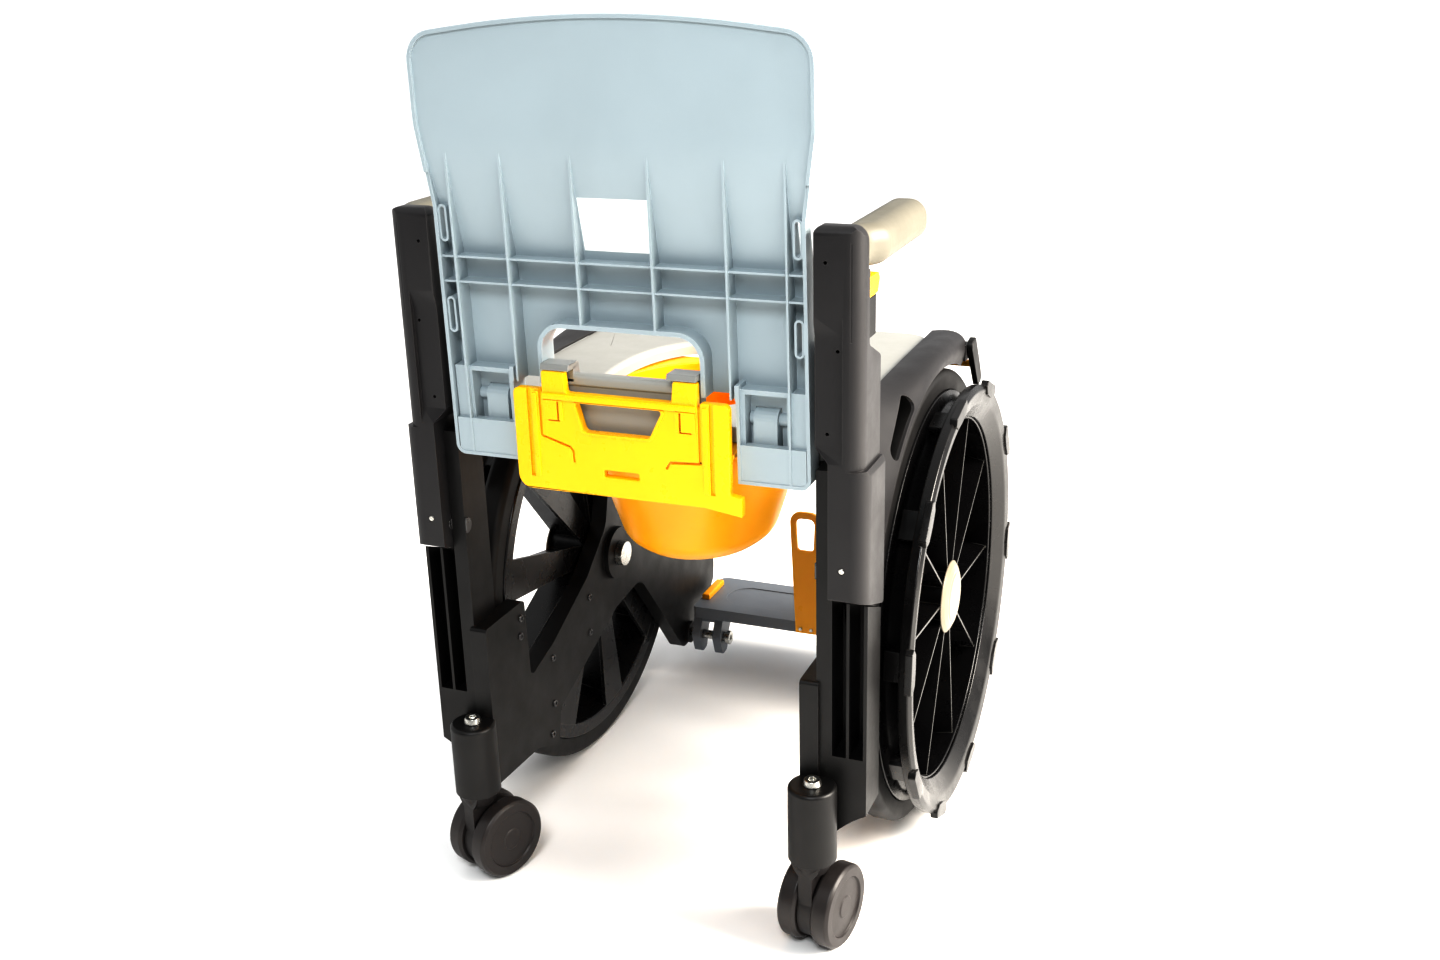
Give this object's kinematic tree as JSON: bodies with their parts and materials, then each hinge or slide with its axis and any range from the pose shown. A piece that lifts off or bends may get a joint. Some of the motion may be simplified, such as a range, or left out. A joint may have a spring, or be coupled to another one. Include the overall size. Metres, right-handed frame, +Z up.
{
  "type": "travel shower commode chair",
  "caption": "Shower and toilet wheelchair with a folding moulded back, a slide-out pan, swing-back armrests, a flip-up footplate, push-rim drive wheels and swivel casters.",
  "frame": {"origin": "centre of the chair's footprint on the floor (bottom centre of its bounding box)", "axes": "+Z up, +Y towards the back of the chair, +X towards the occupant's left"},
  "size_m": [0.528, 0.6682, 0.8963],
  "materials": {
    "blue_grey_plastic": "satin moulded blue-grey polypropylene",
    "black_plastic": "satin moulded black",
    "charcoal_plastic": "fine-grained moulded charcoal",
    "light_grey_plastic": "smooth light grey moulding",
    "orange_plastic": "semi-gloss yellow-orange moulding",
    "tyre_rubber": "solid matt tyre",
    "foot_grey_plastic": "satin mid grey",
    "hub_cap_grey": "smooth warm grey",
    "bright_steel": "bright zinc-plated"
  },
  "bodies": {
    "chair": {"seat": "light_grey_plastic", "side_frame_left": "black_plastic", "side_panel_left": "charcoal_plastic", "caster_bolt_left": "bright_steel", "armrest_bolt_left": "bright_steel", "footplate_pin_left": "bright_steel", "hinge_lug_left": "black_plastic", "pan_rail_left": "black_plastic", "axle_left": "bright_steel", "side_frame_right": "black_plastic", "side_panel_right": "charcoal_plastic", "caster_bolt_right": "bright_steel", "armrest_bolt_right": "bright_steel", "footplate_pin_right": "bright_steel", "hinge_lug_right": "black_plastic", "pan_rail_right": "black_plastic", "axle_right": "bright_steel"},
    "backrest": {"backrest": "blue_grey_plastic", "back_pin_left": "blue_grey_plastic", "back_pin_right": "blue_grey_plastic"},
    "pan": {"pan_bowl": "orange_plastic", "pan_handle": "orange_plastic"},
    "footplate": {"footplate": "foot_grey_plastic", "footplate_lever": "orange_plastic", "footplate_jaws_left": "foot_grey_plastic", "footplate_jaws_right": "foot_grey_plastic", "footplate_block_left": "orange_plastic", "footplate_block_right": "orange_plastic"},
    "armrest_left": {"armrest_upright_left": "charcoal_plastic", "armrest_pad_left": "charcoal_plastic"},
    "release_left": {"armrest_release_left": "orange_plastic", "release_rod_left": "black_plastic"},
    "wheel_left": {"tyre_left": "tyre_rubber", "drive_wheel_left": "black_plastic", "push_rim_left": "charcoal_plastic", "hub_cap_left": "hub_cap_grey"},
    "brake_left": {"brake_lever_left": "black_plastic", "brake_shoe_left": "orange_plastic"},
    "caster_left": {"caster_fork_left": "charcoal_plastic"},
    "caster_roll_left_inner": {"caster_wheel_left_inner": "charcoal_plastic"},
    "caster_roll_left_outer": {"caster_wheel_left_outer": "charcoal_plastic"},
    "armrest_right": {"armrest_upright_right": "charcoal_plastic", "armrest_pad_right": "charcoal_plastic"},
    "release_right": {"armrest_release_right": "orange_plastic", "release_rod_right": "black_plastic"},
    "wheel_right": {"tyre_right": "tyre_rubber", "drive_wheel_right": "black_plastic", "push_rim_right": "charcoal_plastic", "hub_cap_right": "hub_cap_grey"},
    "brake_right": {"brake_lever_right": "black_plastic", "brake_shoe_right": "orange_plastic"},
    "caster_right": {"caster_fork_right": "charcoal_plastic"},
    "caster_roll_right_inner": {"caster_wheel_right_inner": "charcoal_plastic"},
    "caster_roll_right_outer": {"caster_wheel_right_outer": "charcoal_plastic"}
  },
  "joints": [
    {"name": "backrest_fold", "type": "hinge", "parent": "chair", "child": "backrest", "pos_m": [0, 0.27385, 0.5405], "axis": [1, 0, 0], "range_deg": [0, 88]},
    {"name": "pan_slide", "type": "slide", "parent": "chair", "child": "pan", "axis": [0, 1, 0], "range_m": [0, 0.3]},
    {"name": "footplate_flip", "type": "hinge", "parent": "chair", "child": "footplate", "pos_m": [0, -0.23415, 0.05], "axis": [-1, 0, 0], "range_deg": [0, 90]},
    {"name": "armrest_swing_left", "type": "hinge", "parent": "chair", "child": "armrest_left", "pos_m": [0, 0.28385, 0.4], "axis": [-1, 0, 0], "range_deg": [0, 100]},
    {"name": "release_lift_left", "type": "slide", "parent": "armrest_left", "child": "release_left", "axis": [0, 0, 1], "range_m": [0, 0.007], "stiffness_N_per_m": 400, "springref_m": -0.004},
    {"name": "wheel_turn_left", "type": "hinge", "parent": "chair", "child": "wheel_left", "pos_m": [0, -0.01815, 0.254], "axis": [1, 0, 0], "continuous": true},
    {"name": "brake_swing_left", "type": "hinge", "parent": "chair", "child": "brake_left", "pos_m": [0, -0.12615, 0.511], "axis": [1, 0, 0], "range_deg": [0, 24]},
    {"name": "caster_swivel_left", "type": "hinge", "parent": "chair", "child": "caster_left", "pos_m": [0.188, 0.30255, 0.1], "axis": [0, 0, 1], "continuous": true},
    {"name": "caster_roll_left_inner", "type": "hinge", "parent": "caster_left", "child": "caster_roll_left_inner", "pos_m": [0.18184, 0.28564, 0.043], "axis": [0.9397, -0.342, 0], "continuous": true},
    {"name": "caster_roll_left_outer", "type": "hinge", "parent": "caster_left", "child": "caster_roll_left_outer", "pos_m": [0.18184, 0.28564, 0.043], "axis": [0.9397, -0.342, 0], "continuous": true},
    {"name": "armrest_swing_right", "type": "hinge", "parent": "chair", "child": "armrest_right", "pos_m": [0, 0.28385, 0.4], "axis": [-1, 0, 0], "range_deg": [0, 100]},
    {"name": "release_lift_right", "type": "slide", "parent": "armrest_right", "child": "release_right", "axis": [0, 0, 1], "range_m": [0, 0.007], "stiffness_N_per_m": 400, "springref_m": -0.004},
    {"name": "wheel_turn_right", "type": "hinge", "parent": "chair", "child": "wheel_right", "pos_m": [0, -0.01815, 0.254], "axis": [1, 0, 0], "continuous": true},
    {"name": "brake_swing_right", "type": "hinge", "parent": "chair", "child": "brake_right", "pos_m": [0, -0.12615, 0.511], "axis": [1, 0, 0], "range_deg": [0, 24]},
    {"name": "caster_swivel_right", "type": "hinge", "parent": "chair", "child": "caster_right", "pos_m": [-0.188, 0.30255, 0.1], "axis": [0, 0, 1], "continuous": true},
    {"name": "caster_roll_right_inner", "type": "hinge", "parent": "caster_right", "child": "caster_roll_right_inner", "pos_m": [-0.19113, 0.28482, 0.043], "axis": [0.9848, -0.1736, 0], "continuous": true},
    {"name": "caster_roll_right_outer", "type": "hinge", "parent": "caster_right", "child": "caster_roll_right_outer", "pos_m": [-0.19113, 0.28482, 0.043], "axis": [0.9848, -0.1736, 0], "continuous": true}
  ]
}
